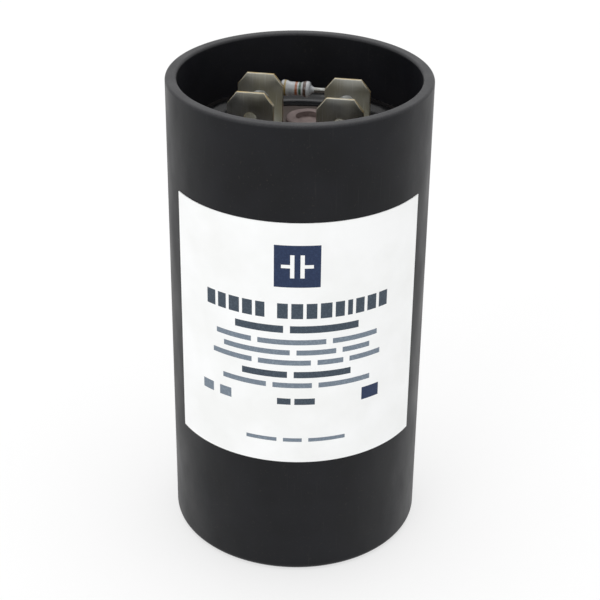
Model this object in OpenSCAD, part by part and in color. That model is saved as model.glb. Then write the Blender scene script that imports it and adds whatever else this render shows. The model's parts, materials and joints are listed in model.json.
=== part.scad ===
// Motor start capacitor. A moulded cup holds a wound foil element, and a riveted
// terminal cover closes it, set down in an open well so that the blades stay below the rim.
// Millimetres. The origin is the middle of the foot, +Z is up, the label faces -Y.

/* [Case] */
// Outside diameter of the case
case_d = 36.5; // [35:0.5:48]
// Height of the case from foot to rim
case_h = 69.85; // [66:0.05:100]
// Wall of the case round the terminal well
rim_wall = 1.6; // [1.4:0.1:2.2]
// Width of the inner ledge that carries the cover
ledge_w = 1.5; // [0.9:0.1:2]
// Thickness of the floor
floor_t = 2; // [1.5:0.1:3.5]
// Radius in the corner between floor and bore
floor_r = 1; // [0.4:0.1:1.5]
// Depth of the recess under the floor
foot_recess = 0.5; // [0.2:0.1:1]
// Width of the ring that the case stands on
foot_land = 3; // [2:0.5:6]
// Radius of the outer edge of the foot
foot_r = 1; // [0.4:0.1:1.5]
// Radius of the two edges of the rim
rim_r = 0.4; // [0.2:0.05:0.6]
// Depth of the well from rim to cover
well_depth = 10.4; // [10:0.1:14]

/* [Label] */
// Width of the label along the wall
label_w = 39; // [20:0.5:80]
// Height of the label
label_h = 37.2; // [15:0.1:44]
// Height of the label's lower edge above the foot
label_z = 19.2; // [3:0.1:20]
// Thickness of the label film
label_t = 0.12; // [0.08:0.01:0.2]

/* [Cover] */
// Thickness of the disc
cover_t = 3.2; // [2.4:0.1:4.5]
// Gap between the disc's edge and the well
cover_clear = 0.15; // [0.05:0.05:0.3]
// Chamfer of the disc's upper edge
cover_chamfer = 0.4; // [0.2:0.1:0.8]
// Depth of the spigot under the disc
spigot_h = 1.5; // [1.2:0.1:3]
// Gap between the spigot and the bore
spigot_clear = 0.3; // [0.1:0.05:0.6]
// Turn of the cover in the case
cover_turn = -9; // [-45:1:45]
// Height of the pad under a terminal
pad_h = 0.4; // [0.3:0.1:0.8]
// Length of a pad beyond the terminal's base
pad_margin = 0.4; // [0.3:0.1:1.2]
// Radius of a pad's corners
pad_r = 0.6; // [0.3:0.1:0.8]
// Width of the ribs that stop a terminal turning
rib_w = 0.7; // [0.5:0.1:1]
// Height of these ribs above the pad
rib_h = 0.9; // [0.6:0.1:1.4]
// Gap between a rib and the terminal's base
rib_clear = 0.15; // [0.05:0.05:0.3]

/* [Seals] */
// Thickness of the gasket under the cover
gasket_t = 1; // [0.6:0.1:1.6]
// Width and height of the sealing bead in the well's corner
bead_w = 2; // [0.9:0.1:2.4]
// Thickness of the bead's two thin edges
bead_lip = 0.2; // [0.15:0.05:0.4]
// Diameter of the vent hole in the cover
vent_d = 4; // [3:0.1:4.4]
// Gap round the stem of the vent plug
vent_clear = 0.05; // [0.02:0.01:0.1]
// Diameter of the vent plug's head
vent_head_d = 6.4; // [5.4:0.1:7]
// Height of that head
vent_head_h = 1.2; // [0.7:0.1:1.6]
// Radius of that head's upper edge
vent_head_r = 0.4; // [0.2:0.1:0.6]
// Diameter of the dimple in that head
vent_dimple_d = 3.6; // [1.5:0.1:4]
// Depth of that dimple
vent_dimple_h = 0.8; // [0.2:0.05:0.9]
// Diameter of the lip that holds the plug under the cover
vent_lip_d = 5; // [4.6:0.1:5.4]
// Height of that lip
vent_lip_h = 0.8; // [0.5:0.1:1.2]
// Space between the plug's head and the terminals' pads
vent_margin = 0.2; // [0.1:0.1:2]

/* [Terminals] */
// Distance between the two terminals
terminal_pitch = 12.2; // [11.8:0.1:13.6]
// Width of a blade
blade_w = 6.35; // [5:0.05:7]
// Thickness of the terminal sheet
sheet_t = 0.8; // [0.5:0.05:1]
// Height of a blade's tip above the underside of its base
blade_rise = 8.4; // [8:0.1:9.2]
// Distance between the two blades of a terminal
blade_gap = 7.4; // [6.8:0.1:9.4]
// Inside radius of the bends
bend_r = 0.5; // [0.3:0.05:0.6]
// Width of the chamfers at a blade's tip
tip_chamfer_w = 1.3; // [0.8:0.1:1.6]
// Height of these chamfers
tip_chamfer_h = 1.7; // [1:0.1:2]
// Bevel across the faces of a blade's tip
tip_bevel = 0.2; // [0.1:0.05:0.2]
// Height of that bevel
tip_bevel_h = 1; // [0.5:0.1:1.2]
// Diameter of the detent hole in a blade
detent_d = 1.7; // [1.4:0.1:2]
// Distance of the detent hole from the tip
detent_drop = 3.6; // [3.2:0.1:4]

/* [Rivets] */
// Diameter of a rivet's shank
rivet_d = 3; // [2.4:0.1:3.4]
// Gap round the shank in the holes it passes
rivet_clear = 0.1; // [0.05:0.05:0.2]
// Diameter of the domed head
rivet_head_d = 4.6; // [4.2:0.1:5]
// Height of the domed head
rivet_head_h = 1; // [0.7:0.1:1.4]
// Diameter of the rolled tail
tail_d = 4.6; // [4.2:0.1:5]
// Height of the rolled tail
tail_h = 0.9; // [0.6:0.1:1.2]
// Diameter of the hollow in the tail
tail_bore_d = 1.7; // [1:0.1:2]
// Depth of that hollow
tail_bore_h = 3; // [1.5:0.1:4]
// Diameter of the washer under the cover
washer_d = 6.4; // [6:0.1:7]
// Thickness of that washer
washer_t = 0.8; // [0.5:0.1:1.2]

/* [Bleed resistor] */
// Diameter of the body's two ends
resistor_d = 2.3; // [2.2:0.1:3]
// Diameter of the body's waist
waist_d = 1.9; // [1.7:0.1:2.1]
// Length of the body
resistor_l = 4.2; // [4:0.1:6]
// Length of each thick end
resistor_end_l = 1.2; // [1:0.1:1.6]
// Radius of the edges of these ends
resistor_end_r = 0.4; // [0.3:0.1:0.6]
// Distance of the body from the middle between the terminals
resistor_shift = -1.7; // [-2:0.1:2]
// Diameter of a lead wire
wire_d = 0.7; // [0.5:0.05:0.8]
// Radius of the bend in a lead wire
wire_bend_r = 1.2; // [1:0.1:1.4]
// Distance of the body behind the blades
resistor_back = 3.4; // [3.2:0.1:4.2]
// Slope of the leads down to the blades
resistor_slope = 6; // [0:1:22]
// Length of wire that shows in front of the blade
wire_tip = 0.9; // [0.8:0.1:1.4]
// Diameter of a solder fillet
solder_d = 2.6; // [2.3:0.1:3]
// Diameter of a fillet where it ends on the wire
solder_tip_d = 1.6; // [1.5:0.1:2]
// Height of a solder fillet on either face of the blade
solder_h = 0.5; // [0.3:0.05:0.6]

/* [Winding] */
// Gap between the wrapped winding and the bore
winding_clear = 0.5; // [0.3:0.05:1]
// Thickness of the wrap round the winding
wrap_t = 0.4; // [0.2:0.05:0.8]
// Diameter of the hole through the winding
core_d = 5; // [3:0.1:7]
// Thickness of the pitch under the winding
pitch_t = 2; // [1:0.1:4]
// Height that the pitch rises round the winding
pitch_rise = 5; // [2:0.5:12]
// Thickness of the insulating disc on the winding
insulator_t = 0.8; // [0.5:0.1:1.5]
// Space between that disc and the rivets
headroom = 2.4; // [1.5:0.1:6]
// Width of the aluminium lead tabs
lead_w = 5; // [4.6:0.1:5.4]
// Thickness of the lead tabs
lead_t = 0.3; // [0.15:0.05:0.5]
// Distance from a rivet to where its lead tab turns down
lead_reach = 6.4; // [5.6:0.1:7.4]
// Inside radius of that bend
lead_bend_r = 0.6; // [0.4:0.1:0.9]
// Gap round a lead tab in the disc's slot
slot_clear = 0.4; // [0.2:0.05:0.8]

/* [Hidden] */
$fn = 96;
slack = 1;

case_r = case_d / 2;
well_r = case_r - rim_wall;
bore_r = well_r - ledge_w;
cover_r = well_r - cover_clear;
spigot_r = bore_r - spigot_clear;
wrap_r = bore_r - winding_clear;
winding_r = wrap_r - wrap_t;

floor_z = foot_recess + floor_t;
cover_z = case_h - well_depth;
seat_z = cover_z - cover_t;
ledge_z = seat_z - gasket_t;
spigot_z = seat_z - spigot_h;
base_z = cover_z + pad_h;
base_top_z = base_z + sheet_t;
tip_z = base_z + blade_rise;
detent_z = tip_z - detent_drop;
lead_z = spigot_z - lead_t;
washer_z = lead_z - washer_t;
tail_z = washer_z - tail_h;
insulator_z = tail_z - headroom - insulator_t;
winding_z = floor_z + pitch_t;

terminal_x = terminal_pitch / 2;
blade_y = blade_gap / 2;
base_half = blade_y + sheet_t / 2;
vent_y = base_half + pad_margin + vent_margin + vent_head_d / 2;
label_angle = label_w / case_r * 180 / PI;
rivet_hole_d = rivet_d + 2 * rivet_clear;

// Half of a turned block's section, its lower and upper outer corners rounded
module half_section(r, h, low = 0, high = 0) {
    translate([0, low])
        square([r, h - low - high]);
    square([r - low, h / 2]);
    translate([0, h / 2])
        square([r - high, h / 2]);
    if (low > 0)
        translate([r - low, low])
            circle(low);
    if (high > 0)
        translate([r - high, h - high])
            circle(high);
}

// A rectangle about the origin with rounded corners
module soft_rect(w, l, r) {
    square([w, l - 2 * r], center = true);
    square([w - 2 * r, l], center = true);
    for (x = [-1, 1], y = [-1, 1])
        translate([x * (w / 2 - r), y * (l / 2 - r)])
            circle(r);
}

// Section of a sheet strip that runs out to x = reach and then turns up to y = rise
module bent_strip(reach, rise, t, r) {
    square([reach - r - t, t]);
    translate([reach - t, r + t])
        square([t, rise - r - t]);
    translate([reach - r - t, r + t])
        intersection() {
            difference() {
                circle(r + t);
                circle(r);
            }
            translate([0, -r - t])
                square(r + t);
        }
}

// Parts that turn with the cover
module on_cover() {
    rotate([0, 0, cover_turn])
        children();
}

// The child once at each terminal, the right one turned half round
module at_terminals() {
    for (turn = [0, 180])
        rotate([0, 0, turn])
            translate([-terminal_x, 0, 0])
                children();
}

// The moulded cup: bore, ledge, open well and recessed foot
module case() {
    color("#1c1c1e")
        rotate_extrude()
            difference() {
                half_section(case_r, case_h, foot_r, rim_r);
                translate([0, floor_z])
                    half_section(bore_r, case_h, floor_r);
                translate([0, ledge_z])
                    square([well_r, case_h]);
                square([case_r - foot_land, foot_recess]);
                translate([well_r, case_h - rim_r])
                    difference() {
                        translate([-slack, 0])
                            square([rim_r + slack, rim_r + slack]);
                        translate([rim_r, 0])
                            circle(rim_r);
                    }
            }
}

// Film label wrapped on the front of the wall
module label() {
    color("#f2f2f0")
        rotate([0, 0, -90 - label_angle / 2])
            rotate_extrude(angle = label_angle)
                translate([case_r, label_z])
                    square([label_t, label_h]);
}

// Pad with two ribs that takes one terminal's base
module terminal_pad() {
    pad_w = blade_w + 2 * (rib_clear + rib_w);
    pad_l = 2 * (base_half + pad_margin);
    linear_extrude(pad_h)
        soft_rect(pad_w, pad_l, pad_r);
    for (x = [-1, 1])
        translate([x * (pad_w - rib_w) / 2, 0, pad_h / 2])
            linear_extrude(pad_h / 2 + rib_h)
                square([rib_w, pad_l - 4 * pad_r], center = true);
}

// Terminal cover with its spigot, pads, rivet holes and vent hole
module cover() {
    color("#3a302c")
        on_cover()
            difference() {
                union() {
                    rotate_extrude()
                        union() {
                            translate([0, seat_z])
                                square([cover_r, cover_t - cover_chamfer]);
                            polygon([
                                [0, cover_z - cover_chamfer],
                                [cover_r, cover_z - cover_chamfer],
                                [cover_r - cover_chamfer, cover_z],
                                [0, cover_z]
                            ]);
                            translate([0, spigot_z])
                                square([spigot_r, spigot_h]);
                        }
                    at_terminals()
                        translate([0, 0, cover_z])
                            terminal_pad();
                }
                at_terminals()
                    translate([0, 0, spigot_z - slack])
                        cylinder(d = rivet_hole_d, h = base_z - spigot_z + 2 * slack);
                translate([0, vent_y, spigot_z - slack])
                    cylinder(d = vent_d, h = cover_z - spigot_z + 2 * slack);
            }
}

// Rubber ring between ledge and cover
module cover_gasket() {
    color("#26241f")
        translate([0, 0, ledge_z])
            difference() {
                cylinder(r = cover_r, h = gasket_t);
                translate([0, 0, -slack])
                    cylinder(r = bore_r, h = gasket_t + 2 * slack);
            }
}

// Hollow fillet of compound that seals the cover into the well
module sealing_bead() {
    color("#17171a")
        rotate_extrude()
            translate([well_r - bead_w, cover_z])
                difference() {
                    square(bead_w);
                    translate([0, bead_w])
                        circle(bead_w - bead_lip);
                }
}

// Rubber plug that blows out of the cover on overpressure
module vent_plug() {
    stem_r = vent_d / 2 - vent_clear;
    color("#6d5f5c")
        on_cover()
            translate([0, vent_y, 0])
                rotate_extrude()
                    difference() {
                        union() {
                            translate([0, cover_z])
                                half_section(vent_head_d / 2, vent_head_h, 0, vent_head_r);
                            translate([0, spigot_z])
                                square([stem_r, cover_z - spigot_z + vent_head_h / 2]);
                            translate([0, spigot_z - vent_lip_h])
                                polygon([
                                    [0, 0],
                                    [stem_r, 0],
                                    [vent_lip_d / 2, vent_lip_h / 2],
                                    [vent_lip_d / 2, vent_lip_h],
                                    [0, vent_lip_h]
                                ]);
                        }
                        translate([0, cover_z + vent_head_h - vent_dimple_h])
                            square([vent_dimple_d / 2, vent_dimple_h + slack]);
                    }
}

// Section of a terminal: base, two bends and two blades with bevelled tips
module terminal_section() {
    difference() {
        for (side = [0, 1])
            mirror([side, 0])
                bent_strip(base_half, blade_rise, sheet_t, bend_r);
        for (y = [-blade_y, blade_y], side = [-1, 1])
            translate([y + side * sheet_t / 2, blade_rise])
                polygon([
                    [-side * tip_bevel, 0],
                    [-side * tip_bevel, slack],
                    [side * slack, slack],
                    [side * slack, -tip_bevel_h],
                    [0, -tip_bevel_h]
                ]);
    }
}

// Dual quick-connect terminal folded from one strip, over the origin
module terminal() {
    color("#b9b6ab")
        translate([0, 0, base_z])
            difference() {
                rotate([90, 0, 90])
                    translate([0, 0, -blade_w / 2])
                        linear_extrude(blade_w)
                            terminal_section();
                for (side = [-1, 1])
                    translate([side * blade_w / 2, base_half + slack, blade_rise])
                        rotate([90, 0, 0])
                            linear_extrude(2 * (base_half + slack))
                                polygon([
                                    [0, -tip_chamfer_h],
                                    [side * slack, -tip_chamfer_h],
                                    [side * slack, slack],
                                    [-side * tip_chamfer_w, slack],
                                    [-side * tip_chamfer_w, 0]
                                ]);
                translate([0, base_half + slack, blade_rise - detent_drop])
                    rotate([90, 0, 0])
                        cylinder(d = detent_d, h = 2 * (base_half + slack));
                translate([0, 0, -slack])
                    cylinder(d = rivet_hole_d, h = sheet_t + 2 * slack);
            }
}

// Terminal on the left of the label's middle
module terminal_left() {
    on_cover()
        translate([-terminal_x, 0, 0])
            terminal();
}

// Terminal on the right of the label's middle
module terminal_right() {
    on_cover()
        translate([terminal_x, 0, 0])
            terminal();
}

// Two rivets: domed head, shank through the whole stack, hollow rolled tail
module terminal_rivets() {
    dome_r = (pow(rivet_head_d / 2, 2) + pow(rivet_head_h, 2)) / (2 * rivet_head_h);
    color("#9c9a92")
        on_cover()
            at_terminals()
                rotate_extrude()
                    difference() {
                        union() {
                            translate([0, base_top_z])
                                intersection() {
                                    square([rivet_head_d / 2, rivet_head_h]);
                                    translate([0, rivet_head_h - dome_r])
                                        circle(dome_r);
                                }
                            translate([0, tail_z])
                                square([rivet_d / 2, base_top_z - tail_z]);
                            translate([0, tail_z])
                                polygon([
                                    [0, 0],
                                    [rivet_d / 2, 0],
                                    [tail_d / 2, tail_h / 2],
                                    [tail_d / 2, tail_h],
                                    [0, tail_h]
                                ]);
                        }
                        translate([0, tail_z - slack])
                            square([tail_bore_d / 2, tail_bore_h + slack]);
                    }
}

// Two washers that spread the rolled tails over the lead tabs
module rivet_washers() {
    color("#8d8f92")
        on_cover()
            at_terminals()
                translate([0, 0, washer_z])
                    difference() {
                        cylinder(d = washer_d, h = washer_t);
                        translate([0, 0, -slack])
                            cylinder(d = rivet_hole_d, h = washer_t + 2 * slack);
                    }
}

// Places the child where the resistor's leads reach the blades, tilted along the leads
module at_resistor() {
    on_cover()
        translate([0, blade_y, detent_z])
            rotate([resistor_slope, 0, 0])
                children();
}

// Body of the bleed resistor, thick at its two ends
module resistor_body() {
    color("#ccd2d6")
        at_resistor()
            translate([resistor_shift - resistor_l / 2, resistor_back, 0])
                rotate([0, 90, 0])
                    rotate_extrude()
                        union() {
                            translate([0, resistor_end_l / 2])
                                square([waist_d / 2, resistor_l - resistor_end_l]);
                            for (z = [0, resistor_l - resistor_end_l])
                                translate([0, z])
                                    half_section(
                                        resistor_d / 2, resistor_end_l,
                                        resistor_end_r, resistor_end_r
                                    );
                        }
}

// Lead on the +X side of a body at x = shift: out, one bend, and through the blade
module resistor_lead(shift) {
    corner_x = terminal_x - wire_bend_r;
    body_x = shift + resistor_l / 2;
    translate([body_x, resistor_back, 0])
        rotate([0, 90, 0])
            cylinder(d = wire_d, h = corner_x - body_x);
    translate([corner_x, resistor_back - wire_bend_r, 0])
        rotate_extrude(angle = 90)
            translate([wire_bend_r, 0])
                circle(d = wire_d);
    translate([terminal_x, resistor_back - wire_bend_r, 0])
        rotate([90, 0, 0])
            cylinder(d = wire_d, h = resistor_back - wire_bend_r + sheet_t / 2 + wire_tip);
}

// Lead wire soldered to the left terminal
module resistor_lead_left() {
    color("#b4b6b4")
        at_resistor()
            mirror([1, 0, 0])
                resistor_lead(-resistor_shift);
}

// Lead wire soldered to the right terminal
module resistor_lead_right() {
    color("#b4b6b4")
        at_resistor()
            resistor_lead(resistor_shift);
}

// Solder round each lead: it fills the detent hole and swells on both faces
module solder_joints() {
    color("#c3c5c4")
        on_cover()
            for (side = [-1, 1])
                difference() {
                    translate([side * terminal_x, blade_y, detent_z])
                        rotate([90, 0, 0])
                            union() {
                                cylinder(d = detent_d, h = sheet_t, center = true);
                                for (face = [0, 1])
                                    mirror([0, 0, face])
                                        translate([0, 0, sheet_t / 2])
                                            cylinder(d1 = solder_d, d2 = solder_tip_d, h = solder_h);
                            }
                    translate([side * terminal_x, blade_y, detent_z])
                        rotate([90 + resistor_slope, 0, 0])
                            cylinder(d = wire_d, h = 4 * (sheet_t + solder_h), center = true);
                }
}

// Aluminium tab from the winding up to the left rivet, over the origin
module lead_tab() {
    difference() {
        union() {
            translate([-lead_w / 2, 0, spigot_z])
                rotate([-90, 0, -90])
                    linear_extrude(lead_w)
                        bent_strip(lead_reach, spigot_z - insulator_z, lead_t, lead_bend_r);
            translate([0, 0, lead_z])
                cylinder(d = washer_d, h = lead_t);
        }
        translate([0, 0, lead_z - slack])
            cylinder(d = rivet_hole_d, h = lead_t + 2 * slack);
    }
}

// Lead tab of the left terminal
module lead_tab_left() {
    color("#c9cbcc")
        on_cover()
            translate([-terminal_x, 0, 0])
                lead_tab();
}

// Lead tab of the right terminal, which turns down on the other side
module lead_tab_right() {
    color("#c9cbcc")
        on_cover()
            rotate([0, 0, 180])
                translate([-terminal_x, 0, 0])
                    lead_tab();
}

// Fibre disc on the winding, with a slot for each lead tab
module top_insulator() {
    color("#8a7a5c")
        on_cover()
            translate([0, 0, insulator_z])
                difference() {
                    cylinder(r = wrap_r, h = insulator_t);
                    at_terminals()
                        translate([0, -lead_reach + lead_t / 2, insulator_t / 2])
                            cube([
                                lead_w + 2 * slot_clear,
                                lead_t + 2 * slot_clear,
                                insulator_t + slack
                            ], center = true);
                }
}

// Roll of foil and paper with an open core
module winding() {
    color("#b7a98a")
        translate([0, 0, winding_z])
            difference() {
                cylinder(r = winding_r, h = insulator_z - winding_z);
                translate([0, 0, -slack])
                    cylinder(d = core_d, h = insulator_z - winding_z + 2 * slack);
            }
}

// Paper sleeve round the roll
module winding_wrap() {
    color("#a38a5f")
        translate([0, 0, winding_z])
            difference() {
                cylinder(r = wrap_r, h = insulator_z - winding_z);
                translate([0, 0, -slack])
                    cylinder(r = winding_r, h = insulator_z - winding_z + 2 * slack);
            }
}

// Pitch poured into the case, which holds the foot of the winding
module anchor_pitch() {
    color("#141210")
        rotate_extrude()
            translate([0, floor_z])
                difference() {
                    half_section(bore_r, pitch_t + pitch_rise, floor_r);
                    translate([0, pitch_t])
                        square([wrap_r, pitch_rise + slack]);
                }
}

case();
label();
cover();
cover_gasket();
sealing_bead();
vent_plug();
terminal_left();
terminal_right();
terminal_rivets();
rivet_washers();
resistor_body();
resistor_lead_left();
resistor_lead_right();
solder_joints();
lead_tab_left();
lead_tab_right();
top_insulator();
winding();
winding_wrap();
anchor_pitch();
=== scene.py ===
"""Finished look of a motor start capacitor: moulded case, printed label and terminal well.

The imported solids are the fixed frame. The cover, the vent plug and the hidden pieces keep their
solids and get a finish. The case, the label, the sealing bead, the terminals, the rivets, the
resistor, its leads and the solder are remade here, with the edges, folds, print and flow that
their solids leave out. Sizes are millimetres in the frame of the part, and become metres only
where vertices are written.
"""

from __future__ import annotations

import json
import logging
import math
from dataclasses import dataclass
from enum import Enum
from functools import partial
from typing import Any, Callable, Iterable, Sequence

import bmesh
import bpy
from mathutils import Matrix, Vector, noise

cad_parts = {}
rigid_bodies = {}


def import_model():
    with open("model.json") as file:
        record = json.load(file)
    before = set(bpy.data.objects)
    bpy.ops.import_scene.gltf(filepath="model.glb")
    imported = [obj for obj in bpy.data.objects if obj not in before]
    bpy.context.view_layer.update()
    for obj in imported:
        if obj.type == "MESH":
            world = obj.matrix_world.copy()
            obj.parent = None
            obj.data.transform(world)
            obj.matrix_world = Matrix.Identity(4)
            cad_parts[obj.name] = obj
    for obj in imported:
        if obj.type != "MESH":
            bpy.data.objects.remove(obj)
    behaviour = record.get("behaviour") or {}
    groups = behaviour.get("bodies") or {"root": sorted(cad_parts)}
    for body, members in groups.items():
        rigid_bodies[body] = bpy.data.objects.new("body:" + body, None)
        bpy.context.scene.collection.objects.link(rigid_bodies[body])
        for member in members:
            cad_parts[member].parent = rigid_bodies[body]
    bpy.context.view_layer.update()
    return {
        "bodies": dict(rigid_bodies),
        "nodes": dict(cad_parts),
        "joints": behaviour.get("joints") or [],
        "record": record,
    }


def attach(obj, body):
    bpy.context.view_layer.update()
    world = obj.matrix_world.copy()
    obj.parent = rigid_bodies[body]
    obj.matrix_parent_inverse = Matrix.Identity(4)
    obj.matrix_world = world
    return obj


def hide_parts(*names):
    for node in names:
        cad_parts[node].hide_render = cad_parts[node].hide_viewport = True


LOG = logging.getLogger("capacitor")

MM = 0.001
STRIP = "strip"
BODY = "root"
IMAGE_SIDE_PX = 600
# A profile point closer to the axis than this is one vertex.
POLE = 1e-6

Point = tuple[float, float]
Pair = tuple[float, float]
Triple = tuple[float, float, float]
Socket = bpy.types.NodeSocket
Tree = bpy.types.NodeTree
Piece = bpy.types.Object


class Side(Enum):
    """Which side of the label's middle a piece is on, as the sign of its X."""

    LEFT = -1
    RIGHT = 1


class Ink(Enum):
    """What a field of the label shows, in the order of its material slots."""

    BARE = 0
    NAVY = 1
    SLATE = 2
    GREY = 3


class Spread(Enum):
    """How a pattern covers a surface, as the noise values that become 0 and 1.

    The further apart they are, the softer the pattern is. The higher they are, the less it covers.
    """

    FAINT = (-0.2, 1.0)
    SOFT = (0.2, 0.8)
    FINE = (0.25, 0.75)
    BROAD = (0.3, 0.7)
    EVEN = (0.35, 0.65)
    PATCHES = (0.42, 0.72)
    PINHOLES = (0.45, 0.75)
    ISLANDS = (0.5, 0.62)
    STREAKS = (0.58, 0.76)
    SCRATCHES = (0.66, 0.74)
    SPECKS = (0.68, 0.75)


# Colour and shader nodes


def linear(hex_code: str) -> tuple[float, float, float, float]:
    """Turns an sRGB colour into the linear one that shaders take.

    Args:
        hex_code: Colour as "#rrggbb".

    Returns:
        Linear red, green, blue and an alpha of 1.
    """
    parts = [int(hex_code[i : i + 2], 16) / 255 for i in (1, 3, 5)]
    red, green, blue = (c / 12.92 if c <= 0.04045 else ((c + 0.055) / 1.055) ** 2.4 for c in parts)
    return red, green, blue, 1.0


def per_mm(size: float) -> float:
    """Texture scale at which one cell of a pattern is `size` millimetres wide."""
    return 1.0 / (size * MM)


def add_node(
    tree: Tree,
    kind: str,
    settings: dict[str, Any] | None = None,
    inputs: dict[str | int, Any] | None = None,
) -> bpy.types.Node:
    """Adds a shader node, sets it up and links it.

    Args:
        tree: Node tree that gets the node.
        kind: Node type without its "ShaderNode" prefix.
        settings: Values for the node's own properties.
        inputs: For each input socket, a value or the output socket that feeds it.

    Returns:
        The new node.
    """
    node = tree.nodes.new("ShaderNode" + kind)
    for key, value in (settings or {}).items():
        setattr(node, key, value)
    for key, value in (inputs or {}).items():
        if isinstance(value, Socket):
            tree.links.new(value, node.inputs[key])
        else:
            node.inputs[key].default_value = value
    return node


def place(tree: Tree, aspect: float = 1.0, flat: str = "") -> Socket:
    """Finds a surface point, in metres.

    Args:
        tree: Node tree that gets the nodes.
        aspect: Under 1 to draw a pattern out, up the part or along the flat stock.
        flat: Map of the flat stock that the piece was bent from, or nothing for the part's frame.

    Returns:
        Vector socket for a texture.
    """
    if flat:
        spot = add_node(tree, "UVMap", {"uv_map": flat}).outputs["UV"]
        stretch = (aspect, 1, 1)
    else:
        spot = add_node(tree, "TexCoord").outputs["Object"]
        stretch = (1, 1, aspect)
    return add_node(tree, "Mapping", inputs={"Vector": spot, "Scale": stretch}).outputs["Vector"]


def blotches(
    tree: Tree,
    size: float,
    spread: Spread = Spread.EVEN,
    aspect: float = 1.0,
    detail: float = 3.0,
    flat: str = "",
) -> Socket:
    """Makes an uneven pattern from 0 to 1, such as mottling, dust or streaks.

    Args:
        tree: Node tree that gets the nodes.
        size: Width of one blotch in millimetres.
        spread: How the blotches cover the surface.
        aspect: Width of a blotch over its length, up the part or along the flat stock.
        detail: Octaves of finer noise inside a blotch.
        flat: Map of the flat stock that the pattern follows, or nothing for the part's frame.

    Returns:
        Value socket.
    """
    cell = {"Vector": place(tree, aspect, flat), "Scale": per_mm(size), "Detail": detail}
    cloud = add_node(tree, "TexNoise", inputs=cell).outputs["Fac"]
    low, high = spread.value
    ends = {"Value": cloud, "From Min": low, "From Max": high}
    return add_node(tree, "MapRange", inputs=ends).outputs["Result"]


def layered(tree: Tree, base: str, layers: Iterable[tuple[Socket, str]]) -> Socket:
    """Lays colours over each other.

    Args:
        tree: Node tree that gets the nodes.
        base: Hex colour at the bottom.
        layers: Mask and hex colour of each layer, from the bottom up.

    Returns:
        Colour socket.
    """
    colour: Any = linear(base)
    for mask, top in layers:
        # A colour Mix node has its colours on sockets 6 and 7 and its result on socket 2.
        mix = add_node(tree, "Mix", {"data_type": "RGBA"}, {0: mask, 6: colour, 7: linear(top)})
        colour = mix.outputs[2]
    return colour


# Finishes


@dataclass(frozen=True)
class Skin:
    """What the pattern of a finish feeds to its shader.

    Attributes:
        colour: Socket of the colour.
        haze: Socket that is 0 where the surface is smoothest and 1 where it is roughest.
        relief: Inputs of the bump, or nothing on a flat surface.
    """

    colour: Socket
    haze: Socket
    relief: dict[str | int, Any] | None = None


@dataclass(frozen=True)
class Finish:
    """A surface as it leaves the factory, with its shader.

    Attributes:
        name: Name of the material, which says what it is and how it was made.
        rough: Lowest and highest roughness.
        ior: Index of refraction.
        specular: Specular level, where 0.5 leaves the index as it is.
        metallic: 1 on bare metal.
        coat: Weight of a clear layer on top.
    """

    name: str
    rough: Pair
    ior: float = 1.5
    specular: float = 0.5
    metallic: float = 0.0
    coat: float = 0.0

    def material(self) -> bpy.types.Material:
        """Gives the finish's material, which is made on first use.

        Returns:
            The material.
        """
        known = bpy.data.materials.get(self.name)
        if known:
            return known
        made = bpy.data.materials.new(self.name)
        made.use_nodes = True
        tree = made.node_tree
        tree.nodes.clear()
        skin = self.dress(tree)
        low, high = self.rough
        rough = add_node(tree, "MapRange", inputs={"Value": skin.haze, "To Min": low, "To Max": high})
        inputs: dict[str | int, Any] = {
            "Base Color": skin.colour,
            "Roughness": rough.outputs["Result"],
            "IOR": self.ior,
            "Specular IOR Level": self.specular,
            "Metallic": self.metallic,
            "Coat Weight": self.coat,
        }
        if skin.relief:
            inputs["Normal"] = add_node(tree, "Bump", inputs=skin.relief).outputs["Normal"]
        shader = add_node(tree, "BsdfPrincipled", inputs=inputs)
        add_node(tree, "OutputMaterial", inputs={"Surface": shader.outputs["BSDF"]})
        return made

    def dress(self, tree: Tree) -> Skin:
        """Adds the finish's own pattern.

        Args:
            tree: Node tree of the material.

        Returns:
            What the pattern feeds to the shader.
        """
        raise NotImplementedError


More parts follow.
